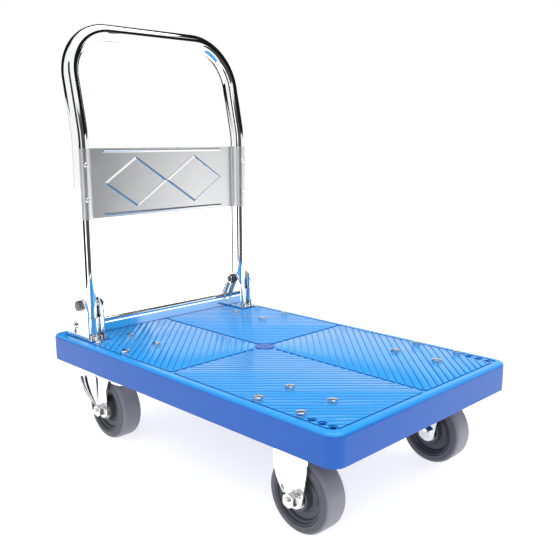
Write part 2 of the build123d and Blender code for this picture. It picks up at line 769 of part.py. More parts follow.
with BuildPart() as foot_bar:
    with BuildSketch(Plane.XZ):
        with Locations((bar_x, bar_z)):
            Circle(bar_radius)
    extrude(amount=bar_half_length, both=True)
    chamfer(foot_bar.edges().filter_by(GeomType.CIRCLE), bar_chamfer)
finish(foot_bar, "foot_bar")

with BuildPart() as foot_bar_caps:
    for side in SIDES.values():
        tube_along_y(bar_x, side * (bar_cap_inner + bar_cap_thickness / 2), bar_z,
                     bar_cap_radius, bar_radius + running, bar_cap_thickness)
finish(foot_bar_caps, "foot_bar_caps")

# ---- handle ------------------------------------------------------------------------

with BuildPart() as handle_tube:
    with BuildLine() as route:
        FilletPolyline(
            (leg_x, -leg_y, leg_foot_z),
            (leg_x, -leg_y, lean_z),
            (handle_x, -leg_y, handle_z),
            (handle_x, leg_y, handle_z),
            (leg_x, leg_y, lean_z),
            (leg_x, leg_y, leg_foot_z),
            radius=(lean_bend_radius, corner_bend_radius, corner_bend_radius, lean_bend_radius),
        )
    with BuildSketch(Plane.XY.offset(leg_foot_z)):
        with Locations((leg_x, -leg_y)):
            Circle(tube_radius)
            Circle(tube_radius - tube_wall, mode=Mode.SUBTRACT)
    sweep(path=route.wire())
    # Holes for the bushes and the rivets.
    with BuildSketch(Plane.XZ):
        with Locations((leg_x, pivot_z)):
            Circle(bush_radius + running)
    extrude(amount=leg_y + ear_outer, both=True, mode=Mode.SUBTRACT)
    with BuildSketch(Plane.YZ.offset(leg_x)):
        with Locations([(s * leg_y, deck_top + h) for s in SIDES.values() for h in rivet_heights]):
            Circle(rivet_radius + running)
    extrude(amount=2 * tube_radius, mode=Mode.SUBTRACT)
finish(handle_tube, "handle_tube")

sheet_radius = tube_radius + running + panel_thickness / 2
sheet_x = leg_x - panel_bend_radius
sheet_end = leg_y - sheet_radius - panel_bend_radius

with BuildPart() as handle_panel:
    with BuildSketch(Plane.XY.offset(deck_top + panel_bottom)):
        with BuildLine() as section:
            for side in SIDES.values():
                CenterArc((leg_x, side * leg_y), sheet_radius,
                          -90 * side, side * (90 + panel_wrap_angle))
                CenterArc((leg_x, side * sheet_end), panel_bend_radius, 90 * side, 90 * side)
            Line((sheet_x, -sheet_end), (sheet_x, sheet_end))
        trace(section.edges(), line_width=panel_thickness)
    extrude(amount=panel_top - panel_bottom)
    with BuildSketch(Plane.YZ.offset(leg_x)):
        with Locations([(s * leg_y, deck_top + h) for s in SIDES.values() for h in rivet_heights]):
            Circle(rivet_radius + running)
    extrude(amount=2 * tube_radius, mode=Mode.SUBTRACT)
finish(handle_panel, "handle_panel")

rivet_seat = leg_x + tube_radius + running + panel_thickness

with BuildPart() as panel_rivets:
    for side in SIDES.values():
        for height in rivet_heights:
            with BuildSketch(Plane.YZ.offset(rivet_seat)):
                with Locations((side * leg_y, deck_top + height)):
                    Circle(rivet_head_radius)
            extrude(amount=rivet_head_thickness)
            with BuildSketch(Plane.YZ.offset(rivet_seat)):
                with Locations((side * leg_y, deck_top + height)):
                    Circle(rivet_radius)
            extrude(amount=-2 * tube_wall - panel_thickness)
    fillet(panel_rivets.faces().filter_by(Axis.X).group_by(Axis.X)[-1].edges(), rivet_head_round)
finish(panel_rivets, "panel_rivets")
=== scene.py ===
import json
from math import cos, hypot, pi, radians, sin, tan

import bmesh
import bpy
from mathutils import Matrix, Vector


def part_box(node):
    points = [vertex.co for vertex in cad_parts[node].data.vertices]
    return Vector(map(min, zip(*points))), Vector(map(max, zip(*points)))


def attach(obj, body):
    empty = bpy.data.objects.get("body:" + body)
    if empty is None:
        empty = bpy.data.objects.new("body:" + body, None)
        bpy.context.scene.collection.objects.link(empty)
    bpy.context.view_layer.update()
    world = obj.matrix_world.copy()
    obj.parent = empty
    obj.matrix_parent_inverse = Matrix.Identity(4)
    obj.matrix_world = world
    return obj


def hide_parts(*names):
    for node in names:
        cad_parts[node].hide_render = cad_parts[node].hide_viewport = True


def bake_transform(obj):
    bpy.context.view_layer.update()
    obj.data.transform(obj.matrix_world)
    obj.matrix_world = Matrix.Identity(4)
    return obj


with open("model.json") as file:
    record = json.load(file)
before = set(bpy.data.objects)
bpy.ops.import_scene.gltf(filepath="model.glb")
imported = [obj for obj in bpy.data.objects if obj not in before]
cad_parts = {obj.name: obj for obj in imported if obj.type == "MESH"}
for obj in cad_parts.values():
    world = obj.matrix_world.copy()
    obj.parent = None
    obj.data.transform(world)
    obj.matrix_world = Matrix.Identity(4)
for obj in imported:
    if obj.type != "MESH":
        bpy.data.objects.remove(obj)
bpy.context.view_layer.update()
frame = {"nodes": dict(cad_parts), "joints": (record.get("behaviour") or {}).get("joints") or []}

scene = bpy.context.scene
SIDES = {"right": -1, "left": 1}

# ---- studio ------------------------------------------------------------------------
# A white seamless floor in a white room.  Curved cards stand round the cart, out of view,
# so that chrome has something dark to mirror.  Soft lamps hang overhead and at one side.

card_strips = 24
cards = [          # azimuth from and to in degrees, where +X is 0; radius, bottom and top; brightness
    ("dark_card", -70, -40, 1.35, 0.0, 1.9, 0.01),
    ("grey_card", -24, 38, 1.35, 0.0, 1.3, 0.07),
    ("high_back_card", 75, 228, 0.85, 0.61, 1.7, 0.01),
    ("high_front_card", 30, 85, 1.35, 0.85, 1.8, 0.01),
    ("low_back_card", 160, 190, 0.85, 0.0, 0.61, 0.02),
]


def link(tree, kind, inputs, **settings):
    """Add a node.  A socket given as an input is linked, anything else is its value."""
    node = tree.nodes.new(kind)
    for name, value in settings.items():
        setattr(node, name, value)
    for name, value in inputs.items():
        if isinstance(value, bpy.types.NodeSocket):
            tree.links.new(value, node.inputs[name])
        else:
            node.inputs[name].default_value = value
    return node


def calc(tree, operation, *values):
    """One step of arithmetic in a node tree."""
    return link(tree, "ShaderNodeMath", dict(enumerate(values)), operation=operation).outputs[0]


def shader_of(material):
    """The one shader node of a material."""
    return material.node_tree.nodes["Principled BSDF"]


room = bpy.data.worlds.new("studio_room")
room.use_nodes = True
scene.world = room
room.node_tree.nodes["Background"].inputs["Color"].default_value = (1, 1, 1, 1)


def soft_lamp(name, place, aim, size, watts):
    """Square area lamp that points at a place."""
    lamp = bpy.data.lights.new(name, "AREA")
    lamp.size = size
    lamp.energy = watts
    stand = bpy.data.objects.new(name, lamp)
    stand.location = place
    stand.rotation_euler = (Vector(aim) - Vector(place)).to_track_quat("-Z", "Y").to_euler()
    scene.collection.objects.link(stand)


soft_lamp("overhead", (0.2, 0.3, 2.4), (0, 0, 0.18), 2.0, 26)
soft_lamp("right_side", (1.6, -1.9, 1.1), (0, 0, 0.1), 1.2, 9)

bpy.ops.mesh.primitive_grid_add(size=12, x_subdivisions=4, y_subdivisions=4)
floor = bpy.context.object
floor.name = "floor"
paper = bpy.data.materials.new("floor_paper")
paper.use_nodes = True
shader = shader_of(paper)
shader.inputs["Base Color"].default_value = (0.9, 0.9, 0.9, 1)
shader.inputs["Roughness"].default_value = 0.9
shader.inputs["Emission Color"].default_value = (1, 1, 1, 1)
shader.inputs["Emission Strength"].default_value = 0.62
floor.data.materials.append(paper)

for name, start, end, away, bottom, top, brightness in cards:
    work = bmesh.new()
    edge = [radians(start + (end - start) * n / card_strips) for n in range(card_strips + 1)]
    feet = [work.verts.new((away * cos(angle), away * sin(angle), bottom)) for angle in edge]
    heads = [work.verts.new((away * cos(angle), away * sin(angle), top)) for angle in edge]
    for n in range(card_strips):
        work.faces.new((feet[n], heads[n], heads[n + 1], feet[n + 1]))
    strip = bpy.data.meshes.new(name)
    work.to_mesh(strip)
    work.free()
    card = bpy.data.objects.new(name, strip)
    scene.collection.objects.link(card)
    card.visible_camera = False
    card.visible_diffuse = False
    card.visible_shadow = False
    matt = bpy.data.materials.new(name)
    matt.use_nodes = True
    shader = shader_of(matt)
    shader.inputs["Base Color"].default_value = (0, 0, 0, 1)
    shader.inputs["Specular IOR Level"].default_value = 0.0
    shader.inputs["Emission Color"].default_value = (1, 1, 1, 1)
    shader.inputs["Emission Strength"].default_value = brightness
    strip.materials.append(matt)

camera_below_level = 11.04   # degrees
camera_turn = 44.44
lens = bpy.data.cameras.new("camera")
lens.sensor_width = 36.0
lens.lens = 47.34
camera = bpy.data.objects.new("camera", lens)
camera.location = (0.8719, -0.8517, 0.5323)
camera.rotation_euler = (radians(90 - camera_below_level), 0, radians(camera_turn))
scene.collection.objects.link(camera)
scene.camera = camera
scene.view_settings.view_transform = "Standard"

# ---- deck --------------------------------------------------------------------------
# One injection-moulded polypropylene tray, like a lid, ribbed underneath.
# Its top is covered by diamond rows of raised pads with narrow grooves between them.

pad_step = 0.0157           # from row to row, along the deck's length
pad_groove = 0.0020
pad_depth = 0.0015
pad_first = 0.0330          # first row's distance from the badge, along the deck's length
pad_band = 0.0025           # smooth band along both centre lines, half its width
pad_edge_gap = 0.0030       # pads to the wall of the recess
pad_shortest = 0.010
pad_bevel = 0.00035
pad_rows = 40               # more than fit; what lies past the recess is dropped
field_rear = 0.056
field_margin = 0.013
seat_radius = 0.009         # round a caster's bolt
plate_hole_pitch = (0.080, 0.063)
lash_rim = 0.0065           # round a lashing hole
lash_from_front = 0.041     # middle hole of each three
lash_from_side = 0.0235
lash_pitch = 0.01775
foot_margin = 0.0055        # pads to a hinge bracket
cut_depth = 0.02            # of the blocks that clear the pads away


def marks_group():
    """Low, broad smudges and fine grain, both from 0 to 1, for any worn surface."""
    group = bpy.data.node_groups.new("handling_marks", "ShaderNodeTree")
    for name, value in (("Smudge Scale", 14.0), ("Grain Scale", 900.0)):
        socket = group.interface.new_socket(name, in_out="INPUT", socket_type="NodeSocketFloat")
        socket.default_value = value
    for name in ("Smudge", "Grain"):
        group.interface.new_socket(name, in_out="OUTPUT", socket_type="NodeSocketFloat")
    sizes = link(group, "NodeGroupInput", {}).outputs
    place = link(group, "ShaderNodeTexCoord", {}).outputs["Object"]
    smudge = link(group, "ShaderNodeTexNoise",
                  {"Vector": place, "Scale": sizes["Smudge Scale"], "Detail": 5.0, "Distortion": 0.6})
    grain = link(group, "ShaderNodeTexNoise",
                 {"Vector": place, "Scale": sizes["Grain Scale"], "Detail": 2.0})
    link(group, "NodeGroupOutput", {"Smudge": smudge.outputs["Fac"], "Grain": grain.outputs["Fac"]})
    return group


marks = marks_group()


def worn(name, shades, rough, grain_height, smudge_scale=14.0, grain_scale=900.0, metal=0.0):
    """Material with two shades, smudged roughness and fine grain."""
    material = bpy.data.materials.new(name)
    material.use_nodes = True
    tree = material.node_tree
    shader = shader_of(material)
    shader.inputs["Metallic"].default_value = metal
    detail = link(tree, "ShaderNodeGroup", {}, node_tree=marks)
    detail.inputs["Smudge Scale"].default_value = smudge_scale
    detail.inputs["Grain Scale"].default_value = grain_scale
    tint = link(tree, "ShaderNodeMix",
                {"Factor": detail.outputs["Smudge"], "A": (*shades[0], 1), "B": (*shades[1], 1)},
                data_type="RGBA")
    polish = link(tree, "ShaderNodeMapRange",
                  {"Value": detail.outputs["Smudge"], "From Min": 0.3, "From Max": 0.7,
                   "To Min": rough[0], "To Max": rough[1]})
    bump = link(tree, "ShaderNodeBump",
                {"Height": detail.outputs["Grain"], "Distance": grain_height, "Strength": 1.0})
    tree.links.new(tint.outputs["Result"], shader.inputs["Base Color"])
    tree.links.new(polish.outputs[0], shader.inputs["Roughness"])
    tree.links.new(bump.outputs[0], shader.inputs["Normal"])
    return material


deck_plastic = worn(
    "deck_plastic", [(0.005, 0.076, 0.350), (0.008, 0.090, 0.395)], (0.13, 0.22), 0.00001)
shader = shader_of(deck_plastic)
shader.inputs["Specular IOR Level"].default_value = 0.25
side_blue = shader.inputs["Base Color"].links[0].from_socket
tree = deck_plastic.node_tree
# Faces that point up are painted a paler blue: painted light from above, on the top and the pads.
facing_up = link(tree, "ShaderNodeSeparateXYZ",
                 {0: link(tree, "ShaderNodeNewGeometry", {}).outputs["True Normal"]}).outputs["Z"]
painted_top_light = link(tree, "ShaderNodeMapRange",
                 {"Value": facing_up, "From Min": 0.2, "From Max": 0.95})
paler = link(tree, "ShaderNodeMix",
             {"Factor": painted_top_light.outputs[0], "A": side_blue, "B": (0.032, 0.320, 0.800, 1)},
             data_type="RGBA")
tree.links.new(paler.outputs["Result"], shader.inputs["Base Color"])


def put_on_stage(mesh, name):
    """New object for a mesh."""
    piece = bpy.data.objects.new(name, mesh)
    scene.collection.objects.link(piece)
    return piece


def shade(mesh, sharp=35):
    """Smooth shading that stays crisp where faces meet at more than an angle in degrees."""
    work = bmesh.new()
    work.from_mesh(mesh)
    for face in work.faces:
        face.smooth = True
    for edge in work.edges:
        edge.smooth = len(edge.link_faces) != 2 or edge.calc_face_angle(0) < radians(sharp)
    work.to_mesh(mesh)
    work.free()


def cad_shell(node, eased=0.0004, steps=2, sharp=25):
    """Visible copy of a CAD node: faces joined up and its sharp edges eased."""
    mesh = frame["nodes"][node].data.copy()
    mesh.materials.clear()
    work = bmesh.new()
    work.from_mesh(mesh)
    bmesh.ops.remove_doubles(work, verts=work.verts, dist=1e-6)
    bmesh.ops.dissolve_limit(work, angle_limit=radians(0.3), verts=work.verts, edges=work.edges)
    corners = [edge for edge in work.edges
               if len(edge.link_faces) == 2 and edge.calc_face_angle(0) > radians(sharp)]
    bmesh.ops.bevel(work, geom=corners, offset=eased, offset_type="OFFSET", segments=steps,
                    profile=0.5, affect="EDGES", clamp_overlap=True)
    for face in work.faces:
        face.smooth = True
    work.to_mesh(mesh)
    work.free()
    piece = put_on_stage(mesh, f"{node}_shell")
    even = piece.modifiers.new("even_normals", "WEIGHTED_NORMAL")
    even.weight = 100
    return piece


def thicken(piece, thickness, offset, sharp):
    """Give a sheet its thickness, with crisp rims."""
    wall = piece.modifiers.new("thickness", "SOLIDIFY")
    wall.thickness = thickness
    wall.offset = offset
    bpy.context.view_layer.update()
    solid = piece.evaluated_get(bpy.context.evaluated_depsgraph_get())
    piece.data = bpy.data.meshes.new_from_object(solid)
    piece.modifiers.clear()
    shade(piece.data, sharp)


def fit(piece, body, material, slot, *nodes):
    """Give a finished piece its material and body, and hide the CAD nodes that it stands for. The slot is not
    used.
    """
    piece.data.materials.clear()
    piece.data.materials.append(material)
    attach(piece, body)
    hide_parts(*nodes)


fit(cad_shell("deck_shell", eased=0.0003), "deck", deck_plastic, "deck_plastic", "deck_shell")


def new_tree(name, sizes):
    """Geometry tree with named size inputs and a material."""
    tree = bpy.data.node_groups.new(name, "GeometryNodeTree")
    tree.interface.new_socket("Geometry", in_out="INPUT", socket_type="NodeSocketGeometry")
    for size, value in sizes.items():
        kind = "NodeSocketInt" if isinstance(value, int) else "NodeSocketFloat"
        tree.interface.new_socket(size, in_out="INPUT", socket_type=kind).default_value = value
    tree.interface.new_socket("Material", in_out="INPUT", socket_type="NodeSocketMaterial")
    tree.interface.new_socket("Geometry", in_out="OUTPUT", socket_type="NodeSocketGeometry")
    return tree, link(tree, "NodeGroupInput", {}).outputs


def close_tree(tree, geometry, material):
    """End a geometry tree with real meshes that carry their material."""
    real = link(tree, "GeometryNodeRealizeInstances", {"Geometry": geometry})
    painted = link(tree, "GeometryNodeSetMaterial",
                   {"Geometry": real.outputs[0], "Material": material})
    link(tree, "NodeGroupOutput", {"Geometry": painted.outputs[0]})


def grow(name, tree, sizes, start=None):
    """Run a geometry tree with its sizes set, and keep the result as a plain mesh."""
    seed = put_on_stage(start or bpy.data.meshes.new(name), name)
    modifier = seed.modifiers.new(tree.name, "NODES")
    modifier.node_group = tree
    for item in tree.interface.items_tree:
        if item.in_out == "INPUT" and item.name in sizes:
            modifier[item.identifier] = sizes[item.name]
    bpy.context.view_layer.update()
    seen = seed.evaluated_get(bpy.context.evaluated_depsgraph_get())
    mesh = bpy.data.meshes.new_from_object(seen)
    seed.modifiers.clear()
    seed.data = mesh
    return seed


# Rows of pads in one quarter of the deck.  Row by row, the distance s = x + y grows by a step,
# and both ends of a row are mitred to the quarter's borders.
pads_tree, pad_input = new_tree("diamond_pads", {
    "Rows": 36, "First": 0.03, "Step": 0.0157, "Groove": 0.002, "Band": 0.0025, "Shortest": 0.01,
    "Length": 0.3, "Width": 0.2, "Base": 0.1775, "Depth": 0.0015,
})


def row_ends(distance):
    """Where a row at a distance s from the badge starts and ends, across the deck."""
    from_front = calc(pads_tree, "SUBTRACT", distance, pad_input["Length"])
    from_middle = calc(pads_tree, "SUBTRACT", distance, pad_input["Band"])
    return (calc(pads_tree, "MAXIMUM", pad_input["Band"], from_front),
            calc(pads_tree, "MINIMUM", pad_input["Width"], from_middle))


row_points = link(pads_tree, "GeometryNodeMeshLine", {"Count": pad_input["Rows"], "Offset": (0, 0, 0)})
blank = link(pads_tree, "GeometryNodeMeshCube", {"Size": (1, 1, 1)})
rows = link(pads_tree, "GeometryNodeInstanceOnPoints",
            {"Points": row_points.outputs[0], "Instance": blank.outputs[0]})
number = link(pads_tree, "GeometryNodeStoreNamedAttribute",
              {"Geometry": rows.outputs[0], "Name": "row", 3: 0.0,
               "Value": link(pads_tree, "GeometryNodeInputIndex", {}).outputs[0]},
              data_type="FLOAT", domain="INSTANCE")
loose_rows = link(pads_tree, "GeometryNodeRealizeInstances", {"Geometry": number.outputs[0]})
row = link(pads_tree, "GeometryNodeInputNamedAttribute", {"Name": "row"},
           data_type="FLOAT").outputs[0]
corner = link(pads_tree, "ShaderNodeSeparateXYZ",
              {0: link(pads_tree, "GeometryNodeInputPosition", {}).outputs[0]}).outputs
pad_width = calc(pads_tree, "SUBTRACT", pad_input["Step"], pad_input["Groove"])
middle = calc(pads_tree, "MULTIPLY_ADD", row, pad_input["Step"], pad_input["First"])
across = calc(pads_tree, "MULTIPLY_ADD", corner["Y"], pad_width, middle)
pad_start, pad_end = row_ends(across)
along = calc(pads_tree, "ADD", corner["X"], 0.5)
span = calc(pads_tree, "SUBTRACT", pad_end, pad_start)
pad_y = calc(pads_tree, "MULTIPLY_ADD", span, along, pad_start)
pad_x = calc(pads_tree, "SUBTRACT", across, pad_y)
upwards = calc(pads_tree, "ADD", corner["Z"], 0.5)
pad_z = calc(pads_tree, "MULTIPLY_ADD", upwards, pad_input["Depth"], pad_input["Base"])
shaped = link(pads_tree, "GeometryNodeSetPosition", {
    "Geometry": loose_rows.outputs[0],
    "Position": link(pads_tree, "ShaderNodeCombineXYZ", {0: pad_x, 1: pad_y, 2: pad_z}).outputs[0],
})
placed_x = link(pads_tree, "ShaderNodeSeparateXYZ",
                {0: link(pads_tree, "GeometryNodeInputPosition", {}).outputs[0]}).outputs
row_mid = calc(pads_tree, "ADD", placed_x["X"], placed_x["Y"])
row_start, row_end = row_ends(row_mid)
row_room = calc(pads_tree, "SUBTRACT", row_end, row_start)
stub = link(pads_tree, "FunctionNodeCompare", {0: row_room, 1: pad_input["Shortest"]},
            data_type="FLOAT", operation="LESS_THAN")
kept = link(pads_tree, "GeometryNodeDeleteGeometry",
            {"Geometry": shaped.outputs[0], "Selection": stub.outputs[0]}, domain="POINT")
close_tree(pads_tree, kept.outputs[0], pad_input["Material"])

deck_low, deck_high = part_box("deck_shell")
pads = bmesh.new()
for to_front in (-1, 1):
    for to_left in (-1, 1):
        margin = field_margin if to_front > 0 else field_rear
        quarter = grow("pads", pads_tree, {
            "Rows": pad_rows, "First": pad_first, "Step": pad_step, "Groove": pad_groove, "Band": pad_band,
            "Shortest": pad_shortest, "Depth": pad_depth, "Base": deck_high.z - pad_depth,
            "Length": deck_high.x - margin - pad_edge_gap,
            "Width": deck_high.y - field_margin - pad_edge_gap,
        })
        quarter.data.transform(Matrix.Diagonal((to_front, to_left, 1, 1)))
        pads.from_mesh(quarter.data)
        bpy.data.objects.remove(quarter)
bmesh.ops.recalc_face_normals(pads, faces=pads.faces)
bmesh.ops.bevel(pads, geom=pads.edges[:], offset=pad_bevel, offset_type="OFFSET", segments=2,
                profile=0.5, affect="EDGES", clamp_overlap=True)
pads_mesh = bpy.data.meshes.new("deck_pads")
pads.to_mesh(pads_mesh)
pads.free()
deck_pads = put_on_stage(pads_mesh, "deck_pads")

plates = {node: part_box(node) for node in frame["nodes"] if "_plate_" in node}
bolt_points = [
    ((low.x + high.x) / 2 + dx * plate_hole_pitch[0] / 2,
     (low.y + high.y) / 2 + dy * plate_hole_pitch[1] / 2)
    for low, high in plates.values()
    for dx in (-1, 1)
    for dy in (-1, 1)
]
lash_points = [(deck_high.x - lash_from_front + n * lash_pitch, side * (deck_high.y - lash_from_side))
               for n in (-1, 0, 1) for side in SIDES.values()]

drills = bmesh.new()
for points, radius in ((bolt_points, seat_radius), (lash_points, lash_rim)):
    for x, y in points:
        bmesh.ops.create_cone(drills, cap_ends=True, segments=32, radius1=radius, radius2=radius,
                              depth=cut_depth, matrix=Matrix.Translation((x, y, deck_high.z)))
for name in SIDES:
    low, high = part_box(f"bracket_{name}")
    middle = (low + high) / 2
    room_round = (high.x - low.x + 2 * foot_margin, high.y - low.y + 2 * foot_margin, cut_depth)
    over_bracket = Matrix.Translation((middle.x, middle.y, deck_high.z))
    bmesh.ops.create_cube(drills, size=1.0, matrix=over_bracket @ Matrix.Diagonal((*room_round, 1)))
drills_mesh = bpy.data.meshes.new("drills")
drills.to_mesh(drills_mesh)
drills.free()
drill = put_on_stage(drills_mesh, "drills")
bore = deck_pads.modifiers.new("bolt_seats", "BOOLEAN")
bore.operation = "DIFFERENCE"
bore.object = drill
bpy.context.view_layer.update()
drilled = deck_pads.evaluated_get(bpy.context.evaluated_depsgraph_get())
deck_pads.data = bpy.data.meshes.new_from_object(drilled)
deck_pads.modifiers.clear()
bpy.data.objects.remove(drill)
shade(deck_pads.data, 60)
fit(deck_pads, "deck", deck_plastic, "deck_plastic")

# ---- centre badge ------------------------------------------------------------------
# A plain disc of darker blue plastic, pressed into the middle of the deck.  It has a raised
# rim and two shallow rings, and carries no mark.

badge_plastic = worn(
    "badge_plastic", [(0.006, 0.080, 0.430), (0.010, 0.095, 0.480)], (0.18, 0.28), 0.00001, 40.0)
shader_of(badge_plastic).inputs["Specular IOR Level"].default_value = 0.35


def turned(name, outline, origin, axis=(0, 0, 1), segments=96):
    """Solid of revolution.  Its outline is closed, as (radius, along), or a function of the angle."""
    work = bmesh.new()
    rings = []
    for step in range(segments):
        angle = 2 * pi * step / segments
        shape = outline(angle) if callable(outline) else outline
        rings.append([work.verts.new((r * cos(angle), r * sin(angle), z)) for r, z in shape])
    for ring, following in zip(rings, rings[1:] + rings[:1]):
        for n in range(len(ring)):
            quad = (ring[n - 1], following[n - 1], following[n], ring[n])
            work.faces.new(quad)
    bmesh.ops.remove_doubles(work, verts=work.verts, dist=1e-7)
    bmesh.ops.dissolve_degenerate(work, edges=work.edges, dist=1e-7)
    bmesh.ops.recalc_face_normals(work, faces=work.faces)
    turn = Vector(axis).to_track_quat("Z", "Y").to_matrix().to_4x4()
    work.transform(Matrix.Translation(origin) @ turn)
    mesh = bpy.data.meshes.new(name)
    work.to_mesh(mesh)
    work.free()
    shade(mesh)
    return put_on_stage(mesh, name)


def rounded(outline, radius, steps=4):
    """Closed outline with every corner replaced by a short curve, as far as its sides allow."""
    result = []
    for n, here in enumerate(outline):
        before, after = Vector(outline[n - 1]), Vector(outline[(n + 1) % len(outline)])
        point = Vector(here)
        if point.x == 0:
            result.append(tuple(point))
            continue
        back = min(radius, (before - point).length * 0.45)
        on = min(radius, (after - point).length * 0.45)
        first = point + (before - point).normalized() * back
        last = point + (after - point).normalized() * on
        for step in range(steps + 1):
            t = step / steps
            result.append(tuple(first * (1 - t) ** 2 + point * 2 * t * (1 - t) + last * t ** 2))
    return result


badge_low, badge_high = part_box("deck_badge")
badge_radius = (badge_high.x - badge_low.x) / 2
badge_top = badge_high.z - badge_low.z
badge = turned("centre_badge", rounded([
    (0, 0),
    (badge_radius, 0),
    (badge_radius, badge_top),
    (badge_radius * 0.88, badge_top),
    (badge_radius * 0.84, badge_top * 0.75),
    (badge_radius * 0.50, badge_top * 0.75),
    (badge_radius * 0.46, badge_top * 0.90),
    (badge_radius * 0.36, badge_top * 0.90),
    (badge_radius * 0.32, badge_top * 0.70),
    (0, badge_top * 0.70),
], 0.0003), ((badge_low.x + badge_high.x) / 2, 0, badge_low.z))
fit(badge, "deck", badge_plastic, "badge_plastic", "deck_badge")

# ---- bolts through the deck --------------------------------------------------------
# Hexagon bolts, turned from bar and zinc plated, go down through the tray and each caster's
# plate.  A washer and a nut hold each one from below, and two threads stand past the nut.

bolt_across = 0.013
bolt_radius = 0.004
flange_radius = 0.0071
flange_height = 0.0007
flange_sunk = 0.0001
washer_bore = 0.0042
washer_radius = 0.0080
washer_thickness = 0.0016
nut_thickness = 0.0065
bolt_past_plate = 0.010     # plain shank below the CAD bolt's end, from where the thread starts
bolt_thread = 0.009
thread_pitch = 0.00125
thread_overlap = 0.0003     # thread into the plain shank
bury = 0.001                # shank into its head

zinc_steel = worn(
    "zinc_steel", [(0.70, 0.71, 0.72), (0.80, 0.79, 0.74)], (0.16, 0.30), 0.00001, 60.0, 1800.0, 1.0)


def hexagon_blank(across, height, bore=0.0):
    """Outline of a hexagon head at any angle, with its corners turned down at 30 degrees."""
    face = 0.475 * across            # radius of the round face on top
    under_share = 0.3                # how far the corners are turned down underneath, against the top

    def outline(angle):
        corner = across / 2 / cos((angle + pi / 6) % (pi / 3) - pi / 6)
        drop = (corner - face) * tan(radians(30))
        under = drop * under_share
        return [(bore, 0), (corner - under, 0), (corner, under),
                (corner, height - drop), (face, height), (bore, height)]

    return outline


def thread(radius, length, pitch):
    """Outline of a threaded end: a row of ridges, closed at both ends."""
    turns = max(1, round(length / pitch))
    depth = pitch * 0.5
    ridges = [point for n in range(turns)
              for point in ((radius - depth, n * pitch), (radius, (n + 0.5) * pitch))]
    end = turns * pitch
    return [(0, 0), *ridges, (radius - depth, end), (radius - 2 * depth, end + depth * 0.5),
            (0, end + depth * 0.5)]


# One tree sets any small piece at a list of points.
set_tree = bpy.data.node_groups.new("set_at_points", "GeometryNodeTree")
for name, kind in (("Geometry", "Geometry"), ("Piece", "Object"), ("Material", "Material")):
    set_tree.interface.new_socket(name, in_out="INPUT", socket_type=f"NodeSocket{kind}")
set_tree.interface.new_socket("Geometry", in_out="OUTPUT", socket_type="NodeSocketGeometry")
given = link(set_tree, "NodeGroupInput", {}).outputs
held = link(set_tree, "GeometryNodeObjectInfo", {"Object": given["Piece"]})
set_down = link(set_tree, "GeometryNodeInstanceOnPoints",
                {"Points": given["Geometry"], "Instance": held.outputs["Geometry"]})
close_tree(set_tree, set_down.outputs[0], given["Material"])


def at_points(name, parts, points, material):
    """Join some small parts, set them at every point and return one plain mesh."""
    whole = bmesh.new()
    for part in parts:
        whole.from_mesh(part.data)
        bpy.data.objects.remove(part)
    seed_mesh = bpy.data.meshes.new(f"{name}_seed")
    whole.to_mesh(seed_mesh)
    whole.free()
    seed = put_on_stage(seed_mesh, f"{name}_seed")
    places = bpy.data.meshes.new(name)
    places.from_pydata([tuple(point) for point in points], [], [])
    group = grow(name, set_tree, {"Piece": seed, "Material": material}, places)
    bpy.data.objects.remove(seed)
    shade(group.data)
    return group


def plain_shank(radius, start, end, origin=(0, 0, 0), axis=(0, 0, 1), segments=32):
    """Round bar from one distance along its axis to another."""
    return turned("shank", [(0, start), (radius, start), (radius, end), (0, end)], origin, axis, segments)


def disc(name, bore, radius, bottom, top, edge, *placed):
    """Flat ring, or a full disc where its bore is 0, with rounded edges."""
    outline = [(bore, bottom), (radius, bottom), (radius, top), (bore, top)]
    return turned(name, rounded(outline, edge), *placed)


bolts_low, bolts_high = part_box("caster_bolts")
washers_low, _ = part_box("caster_washers")
bolt_head = bolts_high.z - deck_high.z
shank = bolts_low.z - deck_high.z
thread_start = shank + bolt_past_plate
caster_bolts = at_points("hex_bolts", [
    turned("head", hexagon_blank(bolt_across, bolt_head), (0, 0, 0), segments=72),
    disc("flange", 0, flange_radius, -flange_sunk, flange_height, 0.0002, (0, 0, 0), (0, 0, 1), 48),
    plain_shank(bolt_radius, bury, thread_start),
    turned("thread", thread(bolt_radius, bolt_thread, thread_pitch), (0, 0, thread_start - thread_overlap),
           (0, 0, -1), 32),
], [(x, y, deck_high.z) for x, y in bolt_points], zinc_steel)
fit(caster_bolts, "deck", zinc_steel, "zinc_steel", "caster_bolts")

washers = at_points("bolt_washers", [
    disc("washer", washer_bore, washer_radius, 0, washer_thickness, 0.0003, (0, 0, 0), (0, 0, 1), 48),
], [(x, y, washers_low.z) for x, y in bolt_points], zinc_steel)
fit(washers, "deck", zinc_steel, "zinc_steel", "caster_washers")

nuts = at_points("bolt_nuts", [
    turned("nut", hexagon_blank(bolt_across, nut_thickness, bolt_radius), (0, 0, 0), (0, 0, -1), 72),
], [(x, y, washers_low.z) for x, y in bolt_points], zinc_steel)
fit(nuts, "deck", zinc_steel, "zinc_steel", "caster_nuts")

# ---- caster plates and swivel heads ------------------------------------------------
# Steel plates blanked and zinc plated, bolted flat under the tray.  A swivel caster's plate
# carries a pressed cup, and a riveted kingpin holds the fork up against a ring of balls.

bearing_steel = worn(
    "bearing_steel", [(0.62, 0.63, 0.65), (0.72, 0.72, 0.73)], (0.10, 0.22), 0.000003, 80.0, 2500.0, 1.0)

for name in SIDES:
    for node in (f"swivel_plate_{name}", f"rigid_plate_{name}", f"swivel_race_{name}", f"kingpin_{name}"):
        fit(cad_shell(node), "deck", zinc_steel, "zinc_steel", node)


def paint(material, *nodes):
    """Finish for CAD nodes that stay as they are, inside the cart."""
    for node in nodes:
        mesh = frame["nodes"][node].data
        mesh.materials.clear()
        mesh.materials.append(material)


